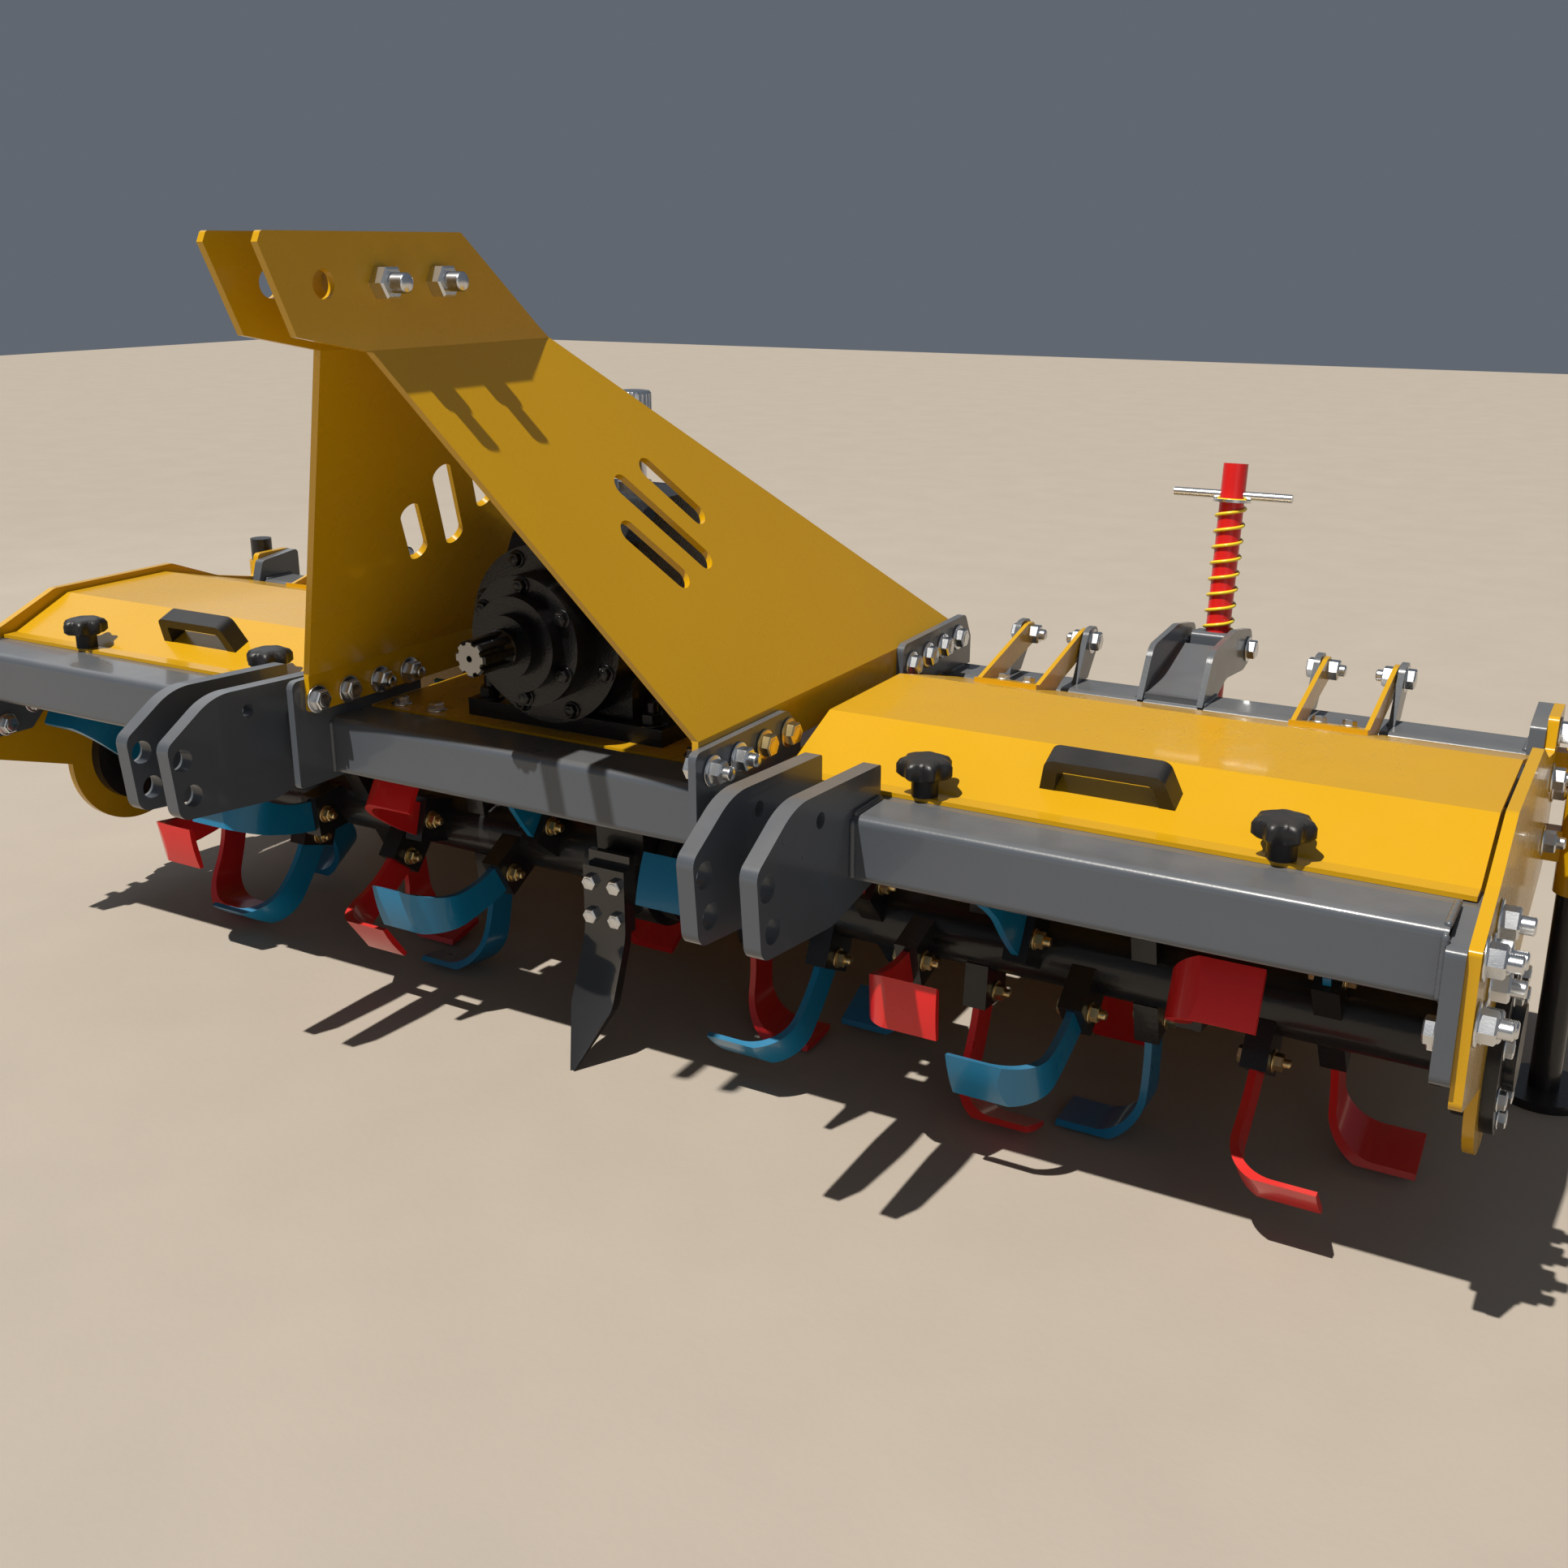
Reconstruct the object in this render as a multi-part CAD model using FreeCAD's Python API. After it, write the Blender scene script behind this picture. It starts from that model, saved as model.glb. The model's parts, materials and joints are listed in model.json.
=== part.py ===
import FreeCAD, Part
import math
import os

V = FreeCAD.Vector
os.makedirs("parts", exist_ok=True)

# Rotary tiller for a three-point linkage. All sizes are in millimetres.
# X runs along the width, Y to the back and Z up. The sizes below are measured from the top front edge
# of the front beam, on the centre line, and the finished parts are moved to the part's origin.

# Frame beams
beam = 75.0             # outside of the square tube
beam_wall = 6.0
beam_corner = 10.0
beam_pitch = 600.0      # front face of the front beam to front face of the rear beam
beam_half = 1056.0      # half the beams' length
end_plate = 18.0
side_plate = 12.0
rear_y = beam_pitch
rear_back = rear_y + beam
plate_x0 = beam_half + end_plate
plate_x1 = plate_x0 + side_plate

# Rotor
axis_y = 300.0
axis_z = -240.0
tine_radius = 225.0
ground_gap = 5.0        # tine tips to the ground when the machine is parked
ground_z = axis_z - tine_radius - ground_gap
tube_r = 45.0
case_half = 38.0        # half the width of the gear case
rotor_gap = 7.0         # gear case to the rotor flanges
flange_t = 12.0
flange_r = 75.0
stub_r = 25.0
centre_shaft_r = 30.0
running = 0.05          # radial clearance of shafts and pins in their bores
station_first = 150.0
station_pitch = 70.0
station_turn = 67.0     # degrees from one pair of tines to the next
rotor_start = 20.0      # degrees, first pair
holder_w = 30.0
holder_t = 64.0
holder_r = 90.0
tine_t = 9.0
tine_w = 48.0
tine_reach = 100.0
tine_bend = 58.0
tine_lag = 15.5         # degrees that the tip trails its neck
tine_neck = 52.0
fit = 0.2               # gap of a part that sits in another
tube_end = beam_half - 16
end_collar = 10.0
station_count = int((tube_end - end_collar - tine_reach - station_first) / station_pitch) + 1

# Side plates and the bearing housings in them
lobe_r = 122.0          # rounded bottom of the side plate
hub_r = 85.0
spigot_r = 61.8
cover_r = 97.0

# Gear case and its share
case_top = -25.0
case_lobe_r = 85.0
share_half = 33.0
share_y = axis_y - 110  # front face of the plate that the share point is bolted on
share_t = 14.0

# Mast plates
mast_t = 8.0
mast_gap = 62.0         # between the two heads
mast_top = 592.0
mast_fold = 480.0
mast_foot = 67.0
mast_low = 17.0
mast_flange = 292.6     # outer face of the bottom flange
nose_y = -359.0
top_pin_y, top_pin_z, top_pin_r = -282.0, 544.0, 14.0
mast_bolts = ((-205.0, 544.0), (-123.0, 544.0))
mast_bolt_r = 10.0
slot_y, slot_below = 95.0, 240.0   # middle of the three slots, back and down the panel
slot_pitch, slot_r = 56.0, 14.0
lug_t = 10.0

# Lower link plates
hitch_t = 20.0
hitch_inner = 366.0
hitch_outer = 439.0
hitch_holes = ((-176.0, -21.0), (-166.0, -69.0))
hitch_pin_r = 14.5

# Deck and gearbox
deck_t = 5.0
deck_half = 292.0
pto_z = 128.0
pto_r = 22.0
pto_front = -64.0
journal_r = 23.0
cap_front = 0.0
cap_flange_y = 35.0
neck_front = 75.0
neck_back = 125.0
box_front = 120.0
box_back = 440.0
box_half = 95.0
box_top = 285.0
foot_half = 150.0
foot_h = 22.0

# Hatches
hatch_in = 322.0
hatch_out = plate_x0 - 6
hatch_t = 5.0
hatch_path = ((beam + 10, 2.0), (beam + 32, 2.0), (207.0, 47.0), (400.0, 48.0), (rear_y - 17, 2.0))
hinge_y, hinge_z = rear_back + 15, 50.0
hinge_pin_r = 8.0
ear_t = 6.0
hatch_middle = (hatch_in + hatch_out) / 2
ear_pairs = ((hatch_in + 62, hatch_in + 150), (hatch_out - 271, hatch_out - 178))
knob_x = (hatch_in + 178, hatch_out - 182)
knob_y = 96.0
handle_x = hatch_middle - 4
knob_neck_r = 9.5
knob_r = 32.0
handle_y = 152.0
seat = 0.3              # gap of a moving part on its stop

# Levelling board and its spring rods
board_y, board_z = rear_back + 20, -50.0
board_pin_r = 8.0
knuckle_r = 14.0
board_half = beam_half - 16
board_t = 5.0
board_rib = 30.0        # height of the ribs on the board's back
board_path = ((board_y + 4, -58.0), (board_y + 33, -200.0), (board_y + 95, -335.0),
              (board_y + 167, -405.0), (board_y + 235, -440.0))
board_lugs = (130.0, 560.0, board_half - 50)
board_ribs = (-board_half + 10, -250.0, 250.0, board_half - 10)
rod_x = hatch_middle - 74.5
rod_r = 17.0
trunnion_y, trunnion_z = rear_back + 145, 33.0
eye_y, eye_z = board_y + 98, -200.0
rod_top_z = 288.0
spring_out = 22.0
spring_wire = 5.0
bracket_half = 36.5     # half the gap between the two bracket plates
bracket_t = 8.0
trunnion_half = 30.5
trunnion_pin_r = 10.0

# Parking legs
leg_x, leg_y = plate_x1 + 40, rear_back - 7
leg_r = 19.0
sleeve_r = 24.0
sleeve_low, sleeve_high = -190.0, 20.0
foot_r = 58.0
foot_t = 12.0

# The origin is under the middle of the machine, on the ground.
shift = V(0, -(nose_y + board_path[-1][0]) / 2, -ground_z)
print("shift", shift)

X, Y, Z = V(1, 0, 0), V(0, 1, 0), V(0, 0, 1)


def wire(outline, to_space):
    """Closed wire through (u, v) or (u, v, radius) corners; a radius rounds its corner."""
    corners = [(V(c[0], c[1], 0), c[2] if len(c) > 2 else 0.0) for c in outline]
    stretches = []
    for i, (p, r) in enumerate(corners):
        if r <= 0:
            stretches.append((p, None, p))
            continue
        back = (corners[i - 1][0] - p).normalize()
        ahead = (corners[(i + 1) % len(corners)][0] - p).normalize()
        half = back.getAngle(ahead) / 2
        run = r / math.tan(half)
        middle = p + (back + ahead).normalize() * (r / math.sin(half) - r)
        stretches.append((p + back * run, middle, p + ahead * run))
    edges = []
    for i, (start, middle, end) in enumerate(stretches):
        if middle is not None:
            edges.append(Part.Arc(to_space(start), to_space(middle), to_space(end)).toShape())
        following = stretches[(i + 1) % len(stretches)][0]
        if (following - end).Length > 1e-6:
            edges.append(Part.LineSegment(to_space(end), to_space(following)).toShape())
    return Part.Wire(edges)


def prism(outline, origin, u, v, sweep):
    face = Part.Face(wire(outline, lambda p: origin + u * p.x + v * p.y))
    return face.extrude(sweep)


def plate_x(outline, x0, x1):
    return prism(outline, X * x0, Y, Z, X * (x1 - x0))


def plate_y(outline, y0, y1):
    return prism(outline, Y * y0, X, Z, Y * (y1 - y0))


def box(x0, x1, y0, y1, z0, z1):
    return Part.makeBox(x1 - x0, y1 - y0, z1 - z0, V(x0, y0, z0))


def bar_x(x0, x1, y, z, r):
    return Part.makeCylinder(r, x1 - x0, V(x0, y, z), X)


def bar_y(y0, y1, x, z, r):
    return Part.makeCylinder(r, y1 - y0, V(x, y0, z), Y)


def bar_z(z0, z1, x, y, r):
    return Part.makeCylinder(r, z1 - z0, V(x, y, z0), Z)


def fuse(shapes):
    shapes = list(shapes)
    return shapes[0].multiFuse(shapes[1:]).removeSplitter() if len(shapes) > 1 else shapes[0]


def mirror(shape):
    return shape.mirror(V(0, 0, 0), X)


def strip(path, t):
    """Outline of a bent sheet: the path is one face, and t is its thickness to the path's right."""
    points = [V(a, b, 0) for a, b in path]
    offset = []
    for i, p in enumerate(points):
        runs = []
        if i > 0:
            runs.append((p - points[i - 1]).normalize())
        if i < len(points) - 1:
            runs.append((points[i + 1] - p).normalize())
        sides = [V(run.y, -run.x, 0) for run in runs]
        side = sides[0] if len(sides) == 1 else (sides[0] + sides[1]).normalize()
        offset.append(p + side * (t / side.dot(sides[0])))
    return [(p.x, p.y) for p in points] + [(p.x, p.y) for p in reversed(offset)]


def square(y0, y1, z0, z1, r):
    return [(y0, z0, r), (y1, z0, r), (y1, z1, r), (y0, z1, r)]


def export(shapes):
    for name, shape in shapes.items():
        placed = shape.copy()
        placed.translate(shift)
        placed.exportStep("parts/" + name + ".step")


def both_sides(name, shape):
    return {name + "_right": shape, name + "_left": mirror(shape)}


def beam_solid(y0):
    return plate_x(square(y0, y0 + beam, -beam, 0, beam_corner), -beam_half, beam_half)


def beams():
    inner = beam_corner - beam_wall
    made = {}
    for name, y0 in (("front_beam", 0.0), ("rear_beam", rear_y)):
        hollow = square(y0 + beam_wall, y0 + beam - beam_wall, beam_wall - beam, -beam_wall, inner)
        made[name] = beam_solid(y0).cut(plate_x(hollow, -beam_half, beam_half))
    low = -2 * beam - 2
    front = [(-12, -16, 8), (beam, -4, 10), (beam + 61, -9, 8), (beam + 61, low + 32, 8), (beam + 29, low, 8),
             (-12, low, 12)]
    rear = [(rear_y - 10, -9, 8), (rear_y + 4, 34, 10), (rear_back + 15, 44, 8), (rear_back + 15, low, 12),
            (rear_y - 10, low, 12)]
    front, rear = plate_x(front, beam_half, plate_x0), plate_x(rear, beam_half, plate_x0)
    made["beam_end_plates"] = Part.makeCompound([front, rear, mirror(front), mirror(rear)])
    return made


def side_plates():
    end = rear_back + 17
    outline = [(-5, -16, 6), (beam + 13, 14, 20), (188, 56, 20), (420, 58, 20), (rear_y - 84, 21, 20),
               (rear_y + 2, 4, 6), (rear_y + 12, 44, 8), (end, 44, 12), (end, -168, 25),
               (rear_y - 51, -194, 20), (axis_y + 98, axis_z - 5), (axis_y - 98, axis_z - 5),
               (51, -194, 20), (0, -176, 12)]
    sheet = plate_x(outline, plate_x0, plate_x1)
    lobe = bar_x(plate_x0, plate_x1, axis_y, axis_z, lobe_r)
    bore = bar_x(plate_x0, plate_x1, axis_y, axis_z, spigot_r + fit)
    return both_sides("side_plate", fuse([sheet, lobe]).cut(bore))


def bearing_housings():
    steps = ((beam_half, plate_x0, hub_r), (plate_x0, plate_x1, spigot_r), (plate_x1, plate_x1 + 14, cover_r),
             (plate_x1 + 14, plate_x1 + 26, cover_r / 2 - 0.5))
    body = fuse([bar_x(x0, x1, axis_y, axis_z, r) for x0, x1, r in steps])
    bore = bar_x(beam_half, plate_x1 + 10, axis_y, axis_z, stub_r + running)
    return both_sides("bearing_housing", body.cut(bore))


def rotor():
    flange = case_half + rotor_gap
    steps = [(-plate_x1 - 8, plate_x1 + 8, stub_r), (-flange, flange, centre_shaft_r)]
    for side in (1, -1):
        for near, far, r in ((flange, flange + 2 * flange_t, flange_r), (flange, tube_end, tube_r),
                             (tube_end - end_collar, tube_end, 60)):
            steps.append((min(side * near, side * far), max(side * near, side * far), r))
    pieces = [bar_x(x0, x1, axis_y, axis_z, r) for x0, x1, r in steps]
    centre = V(0, axis_y, axis_z)
    socket = box(-holder_w / 2, holder_w / 2, axis_y - holder_t / 2, axis_y + holder_t / 2,
                 axis_z + tube_r - 12, axis_z + holder_r)
    pocket = box(-tine_t / 2 - fit, tine_t / 2 + fit, axis_y - tine_w / 2 - fit, axis_y + tine_w / 2 + fit,
                 axis_z + tine_neck, axis_z + holder_r)
    socket = socket.cut(pocket)
    tines = {"blue": [], "red": []}
    shapes = {"blue": tine(-1), "red": tine(1)}
    for i in range(station_count):
        for side in (1, -1):
            x = side * (station_first + i * station_pitch)
            turn = rotor_start + i * station_turn + (0 if side > 0 else 33)
            for colour, half_turn in (("blue", 0), ("red", 180)):
                for shape, into in ((socket, pieces), (shapes[colour], tines[colour])):
                    placed = shape.copy()
                    placed.rotate(centre, X, turn + half_turn)
                    placed.translate(X * x)
                    into.append(placed)
    return {"rotor_tube": fuse(pieces), "tines_blue": Part.makeCompound(tines["blue"]),
            "tines_red": Part.makeCompound(tines["red"])}


def tine(side):
    """One blade standing up from the rotor axis; its tip trails its neck and reaches sideways."""
    lag = math.radians(tine_lag)
    half = tine_w / 2
    polar = lambda r, degrees: V(0, axis_y + r * math.sin(math.radians(degrees)),
                                 axis_z + r * math.cos(math.radians(degrees)))
    at = lambda t, r: V(0, axis_y + t, axis_z + r)
    tip_in, tip_mid, tip_out = 7.0, 15.5, 24.0
    edges = [Part.LineSegment(at(-half, tine_neck), at(half, tine_neck)),
             Part.LineSegment(at(half, tine_neck), at(half, holder_r)),
             Part.Arc(at(half, holder_r), at(half + 26, 160), polar(tine_radius, tip_out)),
             Part.Arc(polar(tine_radius, tip_out), polar(tine_radius, tip_mid), polar(tine_radius, tip_in)),
             Part.Arc(polar(tine_radius, tip_in), at(-4, 155), at(-half, holder_r)),
             Part.LineSegment(at(-half, holder_r), at(-half, tine_neck))]
    outline = Part.Face(Part.Wire([e.toShape() for e in edges]))
    reach = tine_reach + tine_t
    side_view = outline.copy()
    side_view.translate(X * -reach)
    side_view = side_view.extrude(X * 2 * reach)
    t = side * tine_t / 2
    end = side * tine_reach
    front = [(-t, 0), (t, 0), (t, tine_radius - tine_t, tine_bend - tine_t), (end, tine_radius - tine_t),
             (end, tine_radius + 2), (-t, tine_radius + 2, tine_bend)]
    u, v = X, V(0, math.sin(lag), math.cos(lag))
    across = V(0, math.cos(lag), -math.sin(lag))
    blade = prism(front, V(0, axis_y, axis_z) - across * 150, u, v, across * 300)
    sweep = bar_x(-reach, reach, axis_y, axis_z, tine_radius)
    return blade.common(side_view).common(sweep)


def gear_case():
    taper = [(axis_y - 95, case_top), (axis_y + 95, case_top), (axis_y + 80, axis_z), (axis_y - 80, axis_z)]
    plate = plate_x(taper, -case_half, case_half)
    top = box(-case_half, case_half, axis_y - 120, axis_y + 120, case_top, -deck_t)
    lobe = bar_x(-case_half, case_half, axis_y, axis_z, case_lobe_r)
    bore = bar_x(-case_half, case_half, axis_y, axis_z, centre_shaft_r + running)
    return {"gear_case": fuse([plate, top, lobe]).cut(bore)}


def share():
    back = share_y + 10
    plate = box(-share_half, share_half, share_y, back, axis_z - 60, axis_z + 47)
    block = box(-25, 25, back, axis_y - 60, axis_z - 45, axis_z + 40)
    body = gear_case()["gear_case"]
    side = [(share_y, -210), (share_y, -310, 60), (share_y - 32, -395, 60), (96, ground_z), (92, ground_z),
            (share_y - 48, -390, 60), (share_y - share_t, -305, 60), (share_y - share_t, -210)]
    blade = plate_x(side, -share_half, share_half)
    front = [(-share_half, -205), (share_half, -205), (share_half, -395), (3, ground_z), (-3, ground_z),
             (-share_half, -395)]
    point = blade.common(plate_y(front, 60, share_y + 30))
    return {"share_plate": fuse([plate, block]).cut(body), "share_point": point}


def mast():
    inner = mast_gap / 2
    head = inner + mast_t
    path = [(head, mast_top), (head, mast_fold), (mast_flange, mast_foot), (mast_flange, mast_low)]
    sheet = plate_y(strip(path, mast_t), nose_y, rear_y + 40)
    tail = rear_y + 32
    outline = [(-354, mast_top, 4), (-83, mast_top, 6), (41, 492), (tail, mast_foot), (tail, mast_low, 6),
               (-40, mast_low, 6), (-39, mast_foot), (-224, 478), (-321, 497), (nose_y, 582)]
    plate = sheet.common(plate_x(outline, 0, mast_flange + 1))
    holes = [bar_x(0, 60, top_pin_y, top_pin_z, top_pin_r)]
    holes += [bar_x(0, 60, y, z, mast_bolt_r) for y, z in mast_bolts]
    down = V(mast_flange - head, 0, mast_foot - mast_fold).normalize()
    out = V(-down.z, 0, down.x)
    slope = (down * 0.8 + Y * 0.6).normalize()
    across = slope.cross(out)
    middle = V(head, slot_y, mast_fold) + down * slot_below
    for row, length in ((-1, 110.0), (0, 160.0), (1, 110.0)):
        centre = middle + across * (row * slot_pitch)
        end = length / 2
        slot = [(u, v, slot_r) for u, v in ((-end, -slot_r), (end, -slot_r), (end, slot_r), (-end, slot_r))]
        holes.append(prism(slot, centre - out * 15, slope, across, out * 30))
    plate = plate.cut(fuse(holes[:1]).multiFuse(holes[1:]))
    bolts = [bar_x(-head - 14, head + 14, y, z, mast_bolt_r) for y, z in mast_bolts]
    front = plate_x([(-60, -beam - 5, 6), (170, -beam - 5, 6), (170, 30, 12), (140, 60, 20), (-60, 60, 10)],
                    mast_flange, mast_flange + lug_t).cut(beam_solid(0))
    front = front.cut(box(0, 400, beam, 400, -100, 0))
    rear = plate_x([(rear_y - 150, 6, 6), (rear_y - 150, 72, 12), (rear_back - 20, 75, 12),
                    (rear_back, 40, 8), (rear_back, 0), (rear_y, 0), (rear_y, 6)],
                   mast_flange, mast_flange + lug_t)
    made = both_sides("mast_plate", plate)
    made["mast_bolts"] = Part.makeCompound(bolts)
    made["mast_lugs"] = Part.makeCompound([front, rear, mirror(front), mirror(rear)])
    return made


def hitch_plates():
    outline = [(-197, 0, 16), (-120, 48, 90), (70, 38, 4), (70, -92, 6), (-40, -112, 60), (-188, -96, 18)]
    holes = [bar_x(300, 500, y, z, hitch_pin_r) for y, z in hitch_holes]
    holes.append(bar_x(300, 500, -68, 16, 9))
    plates = []
    for x0 in (hitch_inner, hitch_outer):
        plate = plate_x(outline, x0, x0 + hitch_t).cut(beam_solid(0))
        for hole in holes:
            plate = plate.cut(hole)
        plates.append(plate)
    return both_sides("hitch_plates", Part.makeCompound(plates))


def gearbox():
    deck = box(-deck_half, deck_half, beam, rear_y, -deck_t, 0)
    foot = box(-foot_half, foot_half, box_front - 18, box_back + 10, 0, foot_h)
    side = [(box_front, 0), (box_back, 0), (box_back, 190, 25), (box_back - 60, box_top - 12, 25),
            (box_back - 130, box_top, 40), (200, box_top, 40), (box_front + 20, 235, 30),
            (box_front, 200, 20)]
    body = plate_x(side, -box_half, box_half)
    neck = bar_y(neck_front, neck_back, 0, pto_z, 110)
    bore = bar_y(neck_front, neck_back - 20, 0, pto_z, journal_r + running)
    housing = fuse([body, neck, foot]).cut(bore)
    cap = fuse([bar_y(cap_flange_y, neck_front, 0, pto_z, 79), bar_y(15, cap_flange_y, 0, pto_z, 58),
                bar_y(cap_front, 15, 0, pto_z, 38)])
    cap = cap.cut(bar_y(cap_front, neck_front, 0, pto_z, journal_r + running))
    shaft = fuse([bar_y(pto_front, -8, 0, pto_z, pto_r), bar_y(-8, neck_back - 22, 0, pto_z, journal_r)])
    cover = fuse([bar_y(box_back, box_back + depth, 0, pto_z + 15, r) for depth, r in ((14, 80), (30, 45))])
    breather = fuse([bar_z(box_top, 377, 0, 273, 16), bar_z(377, 405, 0, 273, 24)])
    return {"centre_deck": deck, "gearbox_housing": housing, "gearbox_input_cap": cap, "pto_shaft": shaft,
            "gearbox_rear_cover": cover, "oil_cap": breather}


def slope_z(y):
    (y0, z0), (y1, z1) = hatch_path[-2:]
    return z0 + (z1 - z0) * (y - y0) / (y1 - y0)


def hatches():
    cover = plate_x(strip(hatch_path, hatch_t), hatch_in, hatch_out)
    ledge = box(hatch_in + 18, beam_half, beam, beam + 32, -10, hatch_path[0][1] - hatch_t - seat)
    base_y0, base_y1 = rear_y - 100, rear_y - 25
    ear = [(base_y0, slope_z(base_y0)), (base_y1, slope_z(base_y1)), (rear_y, 14, 10),
           (hinge_y - 4, hinge_z - 17, 4), (hinge_y + 16, hinge_z - 14, 14),
           (hinge_y + 14, hinge_z + 17, 14), (hinge_y - 14, hinge_z + 16, 14)]
    base = [(base_y0, slope_z(base_y0)), (base_y1, slope_z(base_y1)), (base_y1, slope_z(base_y1) + 6),
            (base_y0, slope_z(base_y0) + 6)]
    lug = [(rear_y + 32, 0), (rear_back, 0), (hinge_y + 20, hinge_z - 12, 6),
           (hinge_y + 18, hinge_z + 20, 16),
           (hinge_y - 18, hinge_z + 20, 16)]
    brackets, lugs = [], []
    hole = bar_x(hatch_in, hatch_out, hinge_y, hinge_z, hinge_pin_r + running)
    for x0, x1 in ear_pairs:
        ears = [plate_x(ear, x0, x0 + ear_t), plate_x(ear, x1 - ear_t, x1), plate_x(base, x0, x1)]
        brackets.append(fuse(ears).cut(hole))
        for near, way in ((x0, -1), (x1, 1)):
            face = near + way * 2
            far = face + way * 8
            pin = near - way * (ear_t + 4)
            lugs.append(fuse([plate_x(lug, min(face, far), max(face, far)),
                              bar_x(min(far, pin), max(far, pin), hinge_y, hinge_z, hinge_pin_r)]))
    knobs = []
    top = hatch_path[0][1]
    for x in knob_x:
        neck = bar_z(top, top + 22, x, knob_y, knob_neck_r)
        knobs.append(fuse([neck, bar_z(top + 22, top + 44, x, knob_y, knob_r)]))
    slope = math.atan2(hatch_path[2][1] - top, hatch_path[2][0] - hatch_path[1][0])
    along = V(0, math.cos(slope), math.sin(slope))
    up = V(0, -math.sin(slope), math.cos(slope))
    foot = V(handle_x, handle_y, top + (handle_y - hatch_path[1][0]) * math.tan(slope))
    outline = [(-75, 0), (-58, 0), (-52, 28, 6), (52, 28, 6), (58, 0), (75, 0), (64, 42, 12), (-64, 42, 12)]
    handle = prism(outline, foot - along * 14, X, up, along * 28)
    made = {}
    for name, shape in (("hatch_cover", cover), ("hatch_brackets", Part.makeCompound(brackets)),
                        ("hatch_knobs", Part.makeCompound(knobs)), ("hatch_handle", handle)):
        made.update(both_sides(name, shape))
    made["hatch_ledges"] = Part.makeCompound([ledge, mirror(ledge)])
    made["hatch_hinge_lugs"] = Part.makeCompound(lugs + [mirror(s) for s in lugs])
    return made


rod_up = V(0, trunnion_y - eye_y, trunnion_z - eye_z).normalize()
rod_back = X.cross(rod_up) * -1


def board():
    sheet = plate_x(strip(board_path, -board_t), -board_half, board_half)
    pin = bar_x(-board_half, board_half, board_y, board_z, board_pin_r)
    gap = 11.0
    edges = [-board_half]
    for x in [-b for b in reversed(board_lugs)] + list(board_lugs):
        edges += [x - gap, x + gap]
    edges.append(board_half)
    knuckles, notches, lugs = [], [], []
    for i in range(0, len(edges), 2):
        knuckles.append(bar_x(edges[i], edges[i + 1], board_y, board_z, knuckle_r))
    for x in [-b for b in board_lugs] + list(board_lugs):
        notches.append(bar_x(x - gap, x + gap, board_y, board_z, 27))
        lug = fuse([box(x - 6, x + 6, rear_back, board_y, board_z - 20, board_z + 20),
                    bar_x(x - 6, x + 6, board_y, board_z, 20)])
        lugs.append(lug.cut(bar_x(x - 6, x + 6, board_y, board_z, board_pin_r + running)))
    for notch in notches:
        sheet = sheet.cut(notch)
    pieces = [sheet, pin] + knuckles
    bend_y, bend_z = board_path[1]
    ear = [(bend_y - 6, bend_z + 25), (eye_y - 12, eye_z + 16, 6), (eye_y + 18, eye_z + 14, 16),
           (eye_y + 16, eye_z - 18, 16), (bend_y + 42, bend_z - 92), (bend_y, bend_z)]
    for side in (1, -1):
        for x0 in (rod_x - 24, rod_x + 16):
            near, far = side * x0, side * (x0 + 8)
            pieces.append(plate_x(ear, min(near, far), max(near, far)))
        near, far = side * (rod_x - 24), side * (rod_x + 24)
        pieces.append(bar_x(min(near, far), max(near, far), eye_y, eye_z, 8))
    rib = strip(board_path[1:-1], -board_rib)
    for x in board_ribs:
        pieces.append(plate_x(rib, x - 3, x + 3))
    return {"rear_board": fuse(pieces), "board_hinge_lugs": Part.makeCompound(lugs)}


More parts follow.
